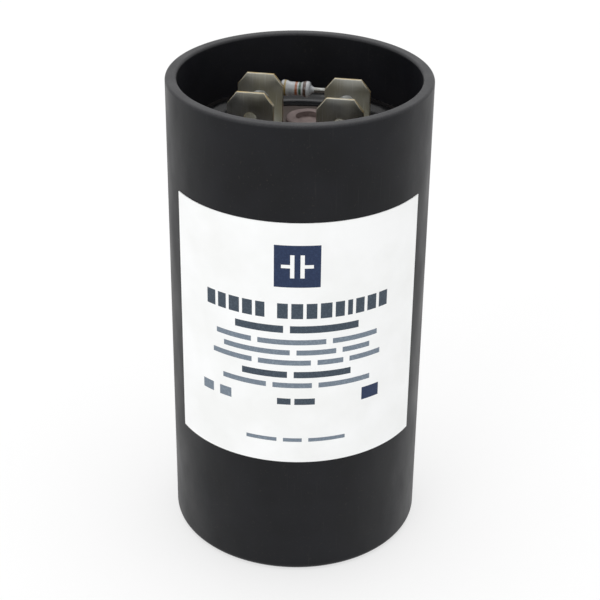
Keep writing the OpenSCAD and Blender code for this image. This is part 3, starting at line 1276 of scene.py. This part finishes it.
@dataclass
class Terminals:
    """Two terminals, each folded from one plated strip.

    Attributes:
        cover: The cover that they stand on.
        pitch: Distance between the terminals.
        width: Width of a blade.
        sheet: Thickness of the strip.
        base: Height of a base's underside.
        rise: Height of a blade's tip above that.
        gap: Distance between the blades of one terminal.
        bend: Inside radius of a bend.
        tip: Width and height of the chamfers at a tip.
        bevel: Depth and height of the bevels at a tip.
        detent: Diameter of a detent hole.
        drop: Distance of that hole from the tip.
        rivet: Diameter of the rivet hole.
        burr: Radius that the punch leaves on the cut edges.
        burr_angle: Angle in degrees above which an edge gets that radius.
        burr_steps: Steps round such an edge.
        land: Width of the ring round each hole that the punch pressed flat.
        bend_steps: Slices of a bend.
        hole_steps: Chords of a hole.
    """

    cover: Cover
    pitch: float = 12.2
    width: float = 6.35
    sheet: float = 0.8
    base: float = 59.85
    rise: float = 8.4
    gap: float = 7.4
    bend: float = 0.5
    tip: Pair = (1.3, 1.7)
    bevel: Pair = (0.2, 1.0)
    detent: float = 1.7
    drop: float = 3.6
    rivet: float = 3.2
    burr: float = 0.07
    burr_angle: float = 50.0
    burr_steps: int = 2
    land: float = 0.3
    bend_steps: int = 8
    hole_steps: int = 48

    @property
    def flat(self) -> float:
        """Half the flat length of a base."""
        return self.gap / 2 - self.sheet / 2 - self.bend

    @property
    def turn_length(self) -> float:
        """Length of the strip in one bend."""
        return (self.bend + self.sheet / 2) * math.pi / 2

    @property
    def reach(self) -> float:
        """Half the length of the flat strip."""
        return self.flat + self.turn_length + self.rise - self.bend - self.sheet

    @property
    def detent_height(self) -> float:
        """Height of the detent holes' middles."""
        return self.base + self.rise - self.drop

    def fold(self, along: float, across: float, lift: float) -> Vector:
        """Carries a point of the flat strip to its place on the folded terminal.

        Args:
            along: Distance from the strip's middle along its length.
            across: Distance from the strip's middle across its width.
            lift: Distance from the strip's middle plane, towards the inside.

        Returns:
            The point, with the base's underside at height 0.
        """
        sign = math.copysign(1, along)
        run = abs(along)
        middle = self.bend + self.sheet / 2
        if run <= self.flat:
            y, z, turn = run, self.sheet / 2, 0.0
        elif run <= self.flat + self.turn_length:
            turn = (run - self.flat) / middle
            y = self.flat + middle * math.sin(turn)
            z = self.sheet + self.bend - middle * math.cos(turn)
        else:
            turn = math.pi / 2
            y, z = self.flat + middle, self.sheet + self.bend + run - self.flat - self.turn_length
        return Vector((across, sign * (y - lift * math.sin(turn)), z + lift * math.cos(turn)))

    def corners(self) -> list[Point]:
        """Follows the outline of the flat strip.

        Returns:
            Its corners in order, with the chamfers at both tips.
        """
        end, half = self.reach, self.width / 2
        found = []
        for sign in (1, -1):
            for side in (-sign, sign):
                chamfer = [
                    (sign * (end - self.tip[1]), side * half),
                    (sign * end, side * (half - self.tip[0])),
                ]
                found += chamfer if side == -sign else reversed(chamfer)
        return found

    def ring(self, middle: float, radius: float) -> list[Point]:
        """Circle on the flat strip about a point on its middle line."""
        return arc((middle, 0), radius, 0, 360 * (self.hole_steps - 1) / self.hole_steps, self.hole_steps - 1)

    def blank(self) -> bmesh.types.BMesh:
        """Cuts the flat strip with its chamfers and holes, sliced where it is to bend.

        Returns:
            Flat mesh with the strip's length along X and its width along Y.
        """
        sheet = bmesh.new()
        end = self.reach
        holes = ((0, self.rivet), (end - self.drop, self.detent), (self.drop - end, self.detent))
        loops = []
        for outline in [self.corners(), *(self.ring(middle, size / 2 + self.land) for middle, size in holes)]:
            loops.append([sheet.verts.new((x, y, 0)) for x, y in outline])
            for a, b in zip(loops[-1], loops[-1][1:] + loops[-1][:1]):
                sheet.edges.new((a, b))
        bmesh.ops.triangle_fill(sheet, use_beauty=True, edges=sheet.edges)
        for (middle, size), loop in zip(holes, loops[1:]):
            rim = [sheet.verts.new((x, y, 0)) for x, y in self.ring(middle, size / 2)]
            for i, vert in enumerate(loop):
                sheet.faces.new((vert, loop[i - 1], rim[i - 1], rim[i]))
        bmesh.ops.recalc_face_normals(sheet, faces=sheet.faces)
        cuts = [end - self.bevel[1]]
        cuts += [self.flat + self.turn_length * i / self.bend_steps for i in range(self.bend_steps + 1)]
        for spot in [sign * cut for cut in cuts for sign in (-1, 1)]:
            everything = sheet.verts[:] + sheet.edges[:] + sheet.faces[:]
            bmesh.ops.bisect_plane(sheet, geom=everything, plane_co=(spot, 0, 0), plane_no=(1, 0, 0))
        sheet.verts.index_update()
        return sheet

    def thickness(self, along: float) -> float:
        """Half the strip's thickness, which the bevels take down at the tips."""
        into = max(0.0, abs(along) - (self.reach - self.bevel[1]))
        return self.sheet / 2 - self.bevel[0] * into / self.bevel[1]

    def build_one(self, side: Side) -> Piece:
        """Folds one terminal and sets it on its pad.

        Args:
            side: Which terminal.

        Returns:
            The terminal.
        """
        sheet = self.blank()
        mesh = bmesh.new()
        pad = self.cover.frame() @ Matrix.Translation((side.value * self.pitch / 2, 0, self.base))
        layers = []
        for sign in (-1, 1):
            layer = {}
            for vert in sheet.verts:
                folded = self.fold(vert.co.x, vert.co.y, sign * self.thickness(vert.co.x))
                layer[vert.index] = mesh.verts.new(pad @ folded)
            layers.append(layer)
        outer, inner = layers
        for face in sheet.faces:
            ring = [v.index for v in face.verts]
            mesh.faces.new([inner[i] for i in ring])
            mesh.faces.new([outer[i] for i in reversed(ring)])
        for edge in sheet.edges:
            if edge.is_boundary:
                a, b = (v.index for v in edge.verts)
                mesh.faces.new((outer[a], outer[b], inner[b], inner[a])).material_index = 1
        strip = mesh.loops.layers.uv.new(STRIP)
        flat = {layer[v.index]: v.co.xy * MM for layer in layers for v in sheet.verts}
        for face in mesh.faces:
            for loop in face.loops:
                loop[strip].uv = flat[loop.vert]
        sheet.free()
        name = f"terminal_{side.name.lower()}"
        # Tinned faces: soft silver with a warm cast. Cut edges: a thin line of yellow brass.
        finishes = [TinPlate("tin_plated_brass_strip"), ShearedBrass("sheared_brass_edge")]
        piece = add_piece(f"{name}_folded", mesh, finishes, [name], crease=30)
        burr = piece.modifiers.new("burr", "BEVEL")
        burr.width = self.burr * MM
        burr.segments = self.burr_steps
        burr.limit_method = "ANGLE"
        burr.angle_limit = math.radians(self.burr_angle)
        burr.harden_normals = True
        return piece

    def build(self) -> list[Piece]:
        """Makes both terminals."""
        return [self.build_one(side) for side in Side]


@dataclass
class Rivets:
    """Rivets of the terminals: domed head with the mark of the header, shank and rolled hollow tail.

    Attributes:
        terminals: The terminals that they hold.
        head: Radius of a head.
        tall: Height of a head.
        skirt: How far the dome stops inside the head's radius.
        lip: Inset and height of the points under the dome's edge.
        mark: Radius of the header's mark.
        dish: Radius and depth of the points in that mark.
        shank: Radius of the shank.
        tail: Height of the lower end.
        roll: Radius of the rolled tail.
        roll_high: Height of the roll's upper face above the lower end.
        roll_low: Height of the roll's outer edge above it.
        bore: Radius of the hollow in the tail.
        bore_depth: Depth of that hollow.
        segments: Steps round a rivet.
    """

    terminals: Terminals
    head: float = 2.3
    tall: float = 1.0
    skirt: float = 0.05
    lip: tuple[Point, ...] = ((0.02, 0.03), (0.06, 0.0))
    mark: float = 0.85
    dish: tuple[Point, ...] = ((0.0, 0.22), (0.4, 0.21), (0.62, 0.17), (0.76, 0.115))
    shank: float = 1.5
    tail: float = 52.75
    roll: float = 2.3
    roll_high: float = 0.9
    roll_low: float = 0.45
    bore: float = 0.85
    bore_depth: float = 3.0
    segments: int = 56

    def profile(self) -> list[Point]:
        """Follows a rivet from the middle of its head to the end of its hollow.

        Returns:
            Radius and height of each point.
        """
        low = self.terminals.base + self.terminals.sheet
        top = low + self.tall
        ball = (self.head**2 + self.tall**2) / (2 * self.tall)
        first, last = (
            90 - math.degrees(math.asin(radius / ball)) for radius in (self.mark, self.head - self.skirt)
        )
        return [
            *((radius, top - depth) for radius, depth in self.dish),
            *arc((0, top - ball), ball, first, last, steps=10),
            *((self.head - inset, low + height) for inset, height in self.lip),
            (self.shank, low),
            (self.shank, self.tail + self.roll_high),
            (self.roll, self.tail + self.roll_high),
            (self.roll, self.tail + self.roll_low),
            (self.shank, self.tail),
            (self.bore, self.tail),
            (self.bore, self.tail + self.bore_depth),
            (0, self.tail + self.bore_depth),
        ]

    def build(self) -> list[Piece]:
        """Turns both rivets.

        Returns:
            The rivets, which are one piece.
        """
        mesh = bmesh.new()
        t = self.terminals
        profile = self.profile()
        for side in Side:
            spot = Matrix.Translation((side.value * t.pitch / 2, 0, 0))
            lathe(mesh, profile, self.segments, t.cover.frame() @ spot)
        # Cold-headed aluminium: bright, with the dull cast of its oxide.
        metal = BareMetal(
            "cold_headed_aluminium",
            clean="#bdbebd",
            dull="#a6a6a4",
            rough=(0.3, 0.42),
            dent=0.6,
            dent_depth=0.003,
        )
        names = ["terminal_rivets"]
        return [add_piece("terminal_rivets_headed", mesh, [metal], names, crease=32)]


@dataclass(frozen=True)
class Band:
    """A colour band of the resistor.

    Attributes:
        name: Name of its colour.
        low: Where it starts along the body, from the body's middle.
        high: Where it ends.
        colour: Its colour.
        shade: Its colour where it is thick.
    """

    name: str
    low: float
    high: float
    colour: str
    shade: str


@dataclass
class BleedResistor:
    """Resistor across the terminals: banded body, leads and solder.

    Attributes:
        terminals: The terminals that it is soldered to.
        radius: Radius of the body's ends.
        waist: Radius of its waist.
        length: Length of the body.
        end: Length of a thick end.
        end_round: Radius of an end's edge.
        taper: Where the taper starts before the end's length, and how long it is.
        taper_steps: Steps of a taper.
        meniscus: Coating that creeps out on a lead, as height over the wire and distance from the end.
        neck: Radius of the coating close to the end, and its distance from it.
        bands: Colour bands.
        body_segments: Steps round the body.
        shift: Distance of the body from the middle between the terminals.
        back: Distance of the body behind the blades.
        slope: Slope of the leads in degrees.
        wire: Radius of a lead.
        wire_bend: Radius of a lead's bend.
        wire_straight: Length of a lead that leaves the body straight.
        wire_stations: Distances from the blade's middle at which a lead gets a ring.
        wire_tip: Length of lead in front of the blade.
        wire_cut: Length of the last ring at the cut tip.
        wire_sides: Steps round a lead.
        solder: Radius of a solder joint.
        climb: Height that the solder climbs up a lead.
        climb_steps: Steps of that climb.
        hollow: How hollow the climb is, where 0 is a straight cone.
        skin: Thickness of the solder where it ends on the lead.
        swell: How uneven a joint is.
        swell_waves: Waves of that, to a joint's radius.
        seeds: Seed of each joint's waves.
        solder_segments: Steps round a joint.
    """

    terminals: Terminals
    radius: float = 1.15
    waist: float = 0.95
    length: float = 4.2
    end: float = 1.2
    end_round: float = 0.4
    taper: Pair = (0.55, 0.75)
    taper_steps: int = 8
    meniscus: tuple[Point, ...] = ((0.02, 0.55), (0.08, 0.3))
    neck: Pair = (0.7, 0.02)
    bands: tuple[Band, ...] = (
        Band("brown", 1.1, 1.55, "#432c22", "#35231b"),
        Band("green", 0.5, 0.85, "#2b4a38", "#223c2d"),
        Band("orange", -0.05, 0.3, "#8f5230", "#7d4729"),
        Band("gold", -1.6, -1.3, "#8a7644", "#76653b"),
    )
    body_segments: int = 48
    shift: float = -1.7
    back: float = 3.4
    slope: float = 6.0
    wire: float = 0.35
    wire_bend: float = 1.2
    wire_straight: float = 0.2
    wire_stations: tuple[float, ...] = (1.4, 0.7, 0.0, -0.6)
    wire_tip: float = 0.9
    wire_cut: float = 0.08
    wire_sides: int = 20
    solder: float = 1.3
    climb: float = 0.8
    climb_steps: int = 10
    hollow: float = 0.9
    skin: float = 0.03
    swell: float = 0.14
    swell_waves: float = 1.6
    seeds: Pair = (-3.0, 7.0)
    solder_segments: int = 40

    def frame(self) -> Matrix:
        """Places a point given from the middle between the back blades' holes, along the leads.

        Returns:
            The matrix that takes it to the part's frame.
        """
        t = self.terminals
        hole = Matrix.Translation((0, t.gap / 2, t.detent_height))
        return t.cover.frame() @ hole @ Matrix.Rotation(math.radians(self.slope), 4, "X")

    def build(self) -> list[Piece]:
        """Makes the body, the leads and the solder.

        Returns:
            The pieces in that order.
        """
        return [self.build_body(), *(self.build_lead(side) for side in Side), self.build_solder()]

    def profile(self) -> list[Point]:
        """Follows the body from one lead to the other, with a point at each edge of a band.

        Returns:
            Radius and height of each point.
        """
        half = self.length / 2
        half_body = [(0.0, -half - self.meniscus[0][1])]
        half_body += [(self.wire + over, -half - out) for over, out in self.meniscus]
        half_body.append((self.neck[0], -half - self.neck[1]))
        corner = (self.radius - self.end_round, -half + self.end_round)
        half_body += arc(corner, self.end_round, -90, 0, steps=6)
        start = -half + self.end - self.taper[0]
        for i in range(self.taper_steps + 1):
            s = i / self.taper_steps
            ease = s * s * (3 - 2 * s)
            half_body.append((self.radius + (self.waist - self.radius) * ease, start + self.taper[1] * s))
        found = half_body + [(r, -z) for r, z in reversed(half_body)]
        for edge in [z for band in self.bands for z in (band.low, band.high)]:
            above = next(i for i, (_, z) in enumerate(found) if z > edge)
            (r0, z0), (r1, z1) = found[above - 1], found[above]
            found.insert(above, (r0 + (r1 - r0) * (edge - z0) / (z1 - z0), edge))
        return found

    def build_body(self) -> Piece:
        """Turns the body, with a meniscus of coating on each lead and its bands.

        Returns:
            The body.
        """
        profile = self.profile()

        def band_of(step: int) -> int:
            """Material index of a profile step: 0 off the bands."""
            z = (profile[step][1] + profile[step + 1][1]) / 2
            return next((k + 1 for k, band in enumerate(self.bands) if band.low < z < band.high), 0)

        mesh = bmesh.new()
        axis = Matrix.Translation((self.shift, self.back, 0)) @ Matrix.Rotation(math.pi / 2, 4, "Y")
        lathe(mesh, profile, self.body_segments, self.frame() @ axis, paint=band_of)
        # Dipped coat: a glossy pale bead in the dark well. Rolled bands: clear rings of colour on it.
        coats = [DippedCoat("dipped_epoxy_pale_grey")]
        for band in self.bands:
            coats.append(DippedCoat(f"rolled_band_{band.name}", colour=band.colour, shade=band.shade))
        return add_piece("resistor_body_banded", mesh, coats, ["resistor_body"], crease=60)

    def build_lead(self, side: Side) -> Piece:
        """Bends one lead out of the body and through its blade.

        Args:
            side: Which lead.

        Returns:
            The lead.
        """
        s = side.value
        hole = self.terminals.pitch / 2
        start = self.shift + s * self.length / 2
        corner = (hole - self.wire_bend, self.back - self.wire_bend)
        front = -self.terminals.sheet / 2 - self.wire_tip
        path = [Vector((start, self.back, 0)), Vector((s * (s * start + self.wire_straight), self.back, 0))]
        path += [Vector((s * x, y, 0)) for x, y in arc(corner, self.wire_bend, 90, 0, steps=10)]
        path += [Vector((s * hole, y, 0)) for y in (*self.wire_stations, front + self.wire_cut, front)]
        frame = self.frame()
        mesh = bmesh.new()
        tube(mesh, [frame @ p for p in path], self.wire, self.wire_sides)
        # Tinned copper wire: a grey line with soft highlights along its bends.
        wire = BareMetal("tinned_copper_wire", clean="#979895", dull="#75746f", dent=0.25, dent_depth=0.004)
        name = f"resistor_lead_{side.name.lower()}"
        return add_piece(f"{name}_bent", mesh, [wire], [name], crease=50)

    def flow(self, seed: float, turn: float, radius: float, height: float) -> Vector:
        """Leans a joint along its lead and makes its rim uneven.

        Args:
            seed: Seed of the joint's waves.
            turn: Angle round the joint.
            radius: Radius of the even joint.
            height: Height along its axis.

        Returns:
            The point on the uneven joint.
        """
        x, y = math.cos(turn), math.sin(turn)
        lean = math.tan(math.radians(self.slope))
        uneven = noise.noise(Vector((x * self.swell_waves, y * self.swell_waves, seed + height)))
        out = radius * (1 + self.swell * uneven)
        return Vector((out * x, out * y - height * lean, height))

    def build_solder(self) -> Piece:
        """Flows solder round both leads, on both faces of each blade.

        Returns:
            The joints, which are one piece.
        """
        mesh = bmesh.new()
        t = self.terminals
        rise = []
        for i in range(self.climb_steps + 1):
            s = i / self.climb_steps
            radius = self.wire + self.skin + (self.solder - self.wire) * (1 - s) ** (1 + self.hollow)
            rise.append((radius, t.sheet / 2 + self.climb * s))
        profile = [(r, -h) for r, h in reversed(rise)] + rise
        for side, seed in zip(Side, self.seeds):
            spot = Matrix.Translation((side.value * t.pitch / 2, t.gap / 2, t.detent_height))
            frame = t.cover.frame() @ spot @ Matrix.Rotation(-math.pi / 2, 4, "X")
            lathe(mesh, profile, self.solder_segments, frame, closed=True, bend=partial(self.flow, seed))
        # Flowed solder: a dull grey pool, a little brighter on its crowns.
        metal = BareMetal(
            "flowed_solder",
            clean="#858684",
            dull="#71726f",
            rough=(0.36, 0.5),
            dent=0.8,
            dent_depth=0.01,
        )
        return add_piece("solder_flowed", mesh, [metal], ["solder_joints"], crease=60)


# Hidden pieces


class InnerPieces:
    """Pieces that the closed case hides. They keep their solids."""

    @staticmethod
    def finishes() -> dict[str, Finish]:
        """Names the stock of each hidden piece.

        Returns:
            Finish of each node.
        """
        # Rolled aluminium foil: the brightest thing inside, flat and thin.
        foil = BareMetal("rolled_aluminium_tab", clean="#cfd0d1", dull="#b2b3b4")
        return {
            # Moulded rubber: a matt black line under the cover.
            "cover_gasket": SoftStock("moulded_rubber_black", base="#22201e", bloom="#2d2b28"),
            # Zinc plate: a bluish grey, duller than the rivets.
            "rivet_washers": BareMetal("zinc_plated_washer", clean="#a8a9ab", dull="#838487"),
            "lead_tab_left": foil,
            "lead_tab_right": foil,
            # Pressed fibre: dry tan board.
            "top_insulator": SoftStock("pressed_fibre_board", base="#8a7656", bloom="#9a8664"),
            # Wound foil and paper: a pale roll with the fine tooth of its layers.
            "winding": SoftStock("wound_foil_and_paper", base="#b3a585", bloom="#c4b898", tooth=0.08),
            # Kraft paper: brown and fibrous.
            "winding_wrap": SoftStock("kraft_paper_wrap", base="#9c8259", bloom="#ab9168"),
            # Poured pitch: black, with some gloss.
            "anchor_pitch": SoftStock("poured_pitch", base="#141211", bloom="#1c1917", rough=(0.3, 0.45)),
        }

    def build(self, nodes: dict[str, Piece]) -> list[Piece]:
        """Gives each hidden piece, which is one of the frame's nodes, its finish."""
        return [dress_node(nodes, name, finish) for name, finish in self.finishes().items()]


# Studio


@dataclass(frozen=True)
class Softbox:
    """A square softbox.

    Attributes:
        name: Name of the lamp.
        spot: Its place.
        aim: Point that it faces.
        side: Length of its sides.
        watts: Its power.
    """

    name: str
    spot: Triple
    aim: Triple
    side: float
    watts: float

    def build(self) -> None:
        """Hangs the softbox."""
        lamp = bpy.data.lights.new(self.name, "AREA")
        lamp.shape = "SQUARE"
        lamp.size = self.side * MM
        lamp.energy = self.watts
        box = bpy.data.objects.new(self.name, lamp)
        box.location = Vector(self.spot) * MM
        box.rotation_euler = (Vector(self.aim) - Vector(self.spot)).to_track_quat("-Z", "Y").to_euler()
        bpy.context.scene.collection.objects.link(box)


@dataclass
class Studio:
    """White table, soft light and the camera of the photograph.

    Attributes:
        eye: Camera's place.
        aim_height: Height of the point that it looks at.
        roll: Turn of the camera about its view, in degrees.
        focal_px: Focal length in pixels of the image.
        sensor: Width of the sensor.
        near: Nearest distance that the camera sees.
        table: Half the side of the table.
        table_white: Share of the table that is plain white where it is seen or mirrored.
        room: Strength of the room's light.
        softboxes: Lamps.
    """

    eye: Triple = (0.39, -200.55, 145.45)
    aim_height: float = 35.07
    roll: float = 0.71
    focal_px: float = 1571.0
    sensor: float = 36.0
    near: float = 10.0
    table: float = 6000.0
    table_white: float = 0.6
    room: float = 0.88
    softboxes: tuple[Softbox, ...] = (
        Softbox("overhead", (0, 220, 880), (0, 0, 30), 800, 2.6),
        Softbox("left", (-480, -640, 560), (0, 0, 35), 420, 1.0),
    )

    def build(self) -> None:
        """Makes the table, the light and the camera."""
        self.build_table()
        self.build_world()
        for softbox in self.softboxes:
            softbox.build()
        self.build_camera()
        bpy.context.scene.view_settings.view_transform = "Standard"

    @staticmethod
    def by_ray(tree: Tree, lit: float, seen: float) -> Socket:
        """Tells what is seen or mirrored from what only gives light.

        Args:
            tree: Node tree that gets the nodes.
            lit: Value for a diffuse ray.
            seen: Value for a camera, glossy or transmission ray.

        Returns:
            Value socket.
        """
        path = add_node(tree, "LightPath").outputs
        rays = path["Is Camera Ray"]
        for name in ("Is Glossy Ray", "Is Transmission Ray"):
            rays = add_node(tree, "Math", {"operation": "MAXIMUM"}, {0: rays, 1: path[name]}).outputs[0]
        ends = {"Value": rays, "To Min": lit, "To Max": seen}
        return add_node(tree, "MapRange", inputs=ends).outputs["Result"]

    def build_table(self) -> None:
        """Makes the pale table that the part stands on."""
        mesh = bpy.data.meshes.new("table")
        side = self.table * MM
        corners = [(-side, -side, 0), (side, -side, 0), (side, side, 0), (-side, side, 0)]
        mesh.from_pydata(corners, [], [(0, 1, 2, 3)])
        # Matt coated card: no gloss of its own, so it takes the part's soft shadow.
        made = bpy.data.materials.new("matt_coated_card_white")
        made.use_nodes = True
        tree = made.node_tree
        tree.nodes.clear()
        lit = add_node(tree, "BsdfDiffuse", inputs={"Color": linear("#f4f4f4")})
        plain = add_node(tree, "Emission", inputs={"Color": linear("#ffffff"), "Strength": 1.0})
        # Part of the table is plain white where it is seen or mirrored. The rest keeps the shadow.
        share = self.by_ray(tree, lit=0.0, seen=self.table_white)
        both = add_node(tree, "MixShader", inputs={0: share, 1: lit.outputs[0], 2: plain.outputs[0]})
        add_node(tree, "OutputMaterial", inputs={"Surface": both.outputs[0]})
        mesh.materials.append(made)
        table = bpy.data.objects.new("table", mesh)
        bpy.context.scene.collection.objects.link(table)

    def build_world(self) -> None:
        """Makes the room: soft light, and plain white where it is seen or mirrored."""
        world = bpy.data.worlds.new("room")
        world.use_nodes = True
        tree = world.node_tree
        tree.nodes.clear()
        strength = self.by_ray(tree, lit=self.room, seen=1.0)
        sky = add_node(tree, "Background", inputs={"Color": linear("#ffffff"), "Strength": strength})
        add_node(tree, "OutputWorld", inputs={"Surface": sky.outputs[0]})
        bpy.context.scene.world = world

    def build_camera(self) -> None:
        """Sets the camera up as the photograph was taken."""
        data = bpy.data.cameras.new("photo_camera")
        data.sensor_width = self.sensor
        data.lens = self.sensor * self.focal_px / IMAGE_SIDE_PX
        data.clip_start = self.near * MM
        camera = bpy.data.objects.new("photo_camera", data)
        eye = Vector(self.eye)
        view = Vector((self.eye[0], 0, self.aim_height)) - eye
        turn = view.to_track_quat("-Z", "Y").to_matrix() @ Matrix.Rotation(math.radians(self.roll), 3, "Z")
        camera.matrix_world = Matrix.Translation(eye * MM) @ turn.to_4x4()
        bpy.context.scene.collection.objects.link(camera)
        bpy.context.scene.camera = camera


def main() -> None:
    """Builds the sub-assemblies in order, reports their pieces and sets up the studio."""
    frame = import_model()
    nodes = frame["nodes"]
    case = Case()
    cover = Cover(case)
    terminals = Terminals(cover)
    pieces = case.build() + Label(case).build() + cover.build(nodes)
    pieces += terminals.build() + Rivets(terminals).build() + BleedResistor(terminals).build()
    pieces += InnerPieces().build(nodes)
    for piece in pieces:
        finishes = ", ".join(slot.material.name for slot in piece.material_slots)
        LOG.info("%s: %d faces, %s", piece.name, len(piece.data.polygons), finishes)
    Studio().build()


if __name__ == "__main__":
    logging.basicConfig(level=logging.INFO, format="%(name)s: %(message)s")
    main()
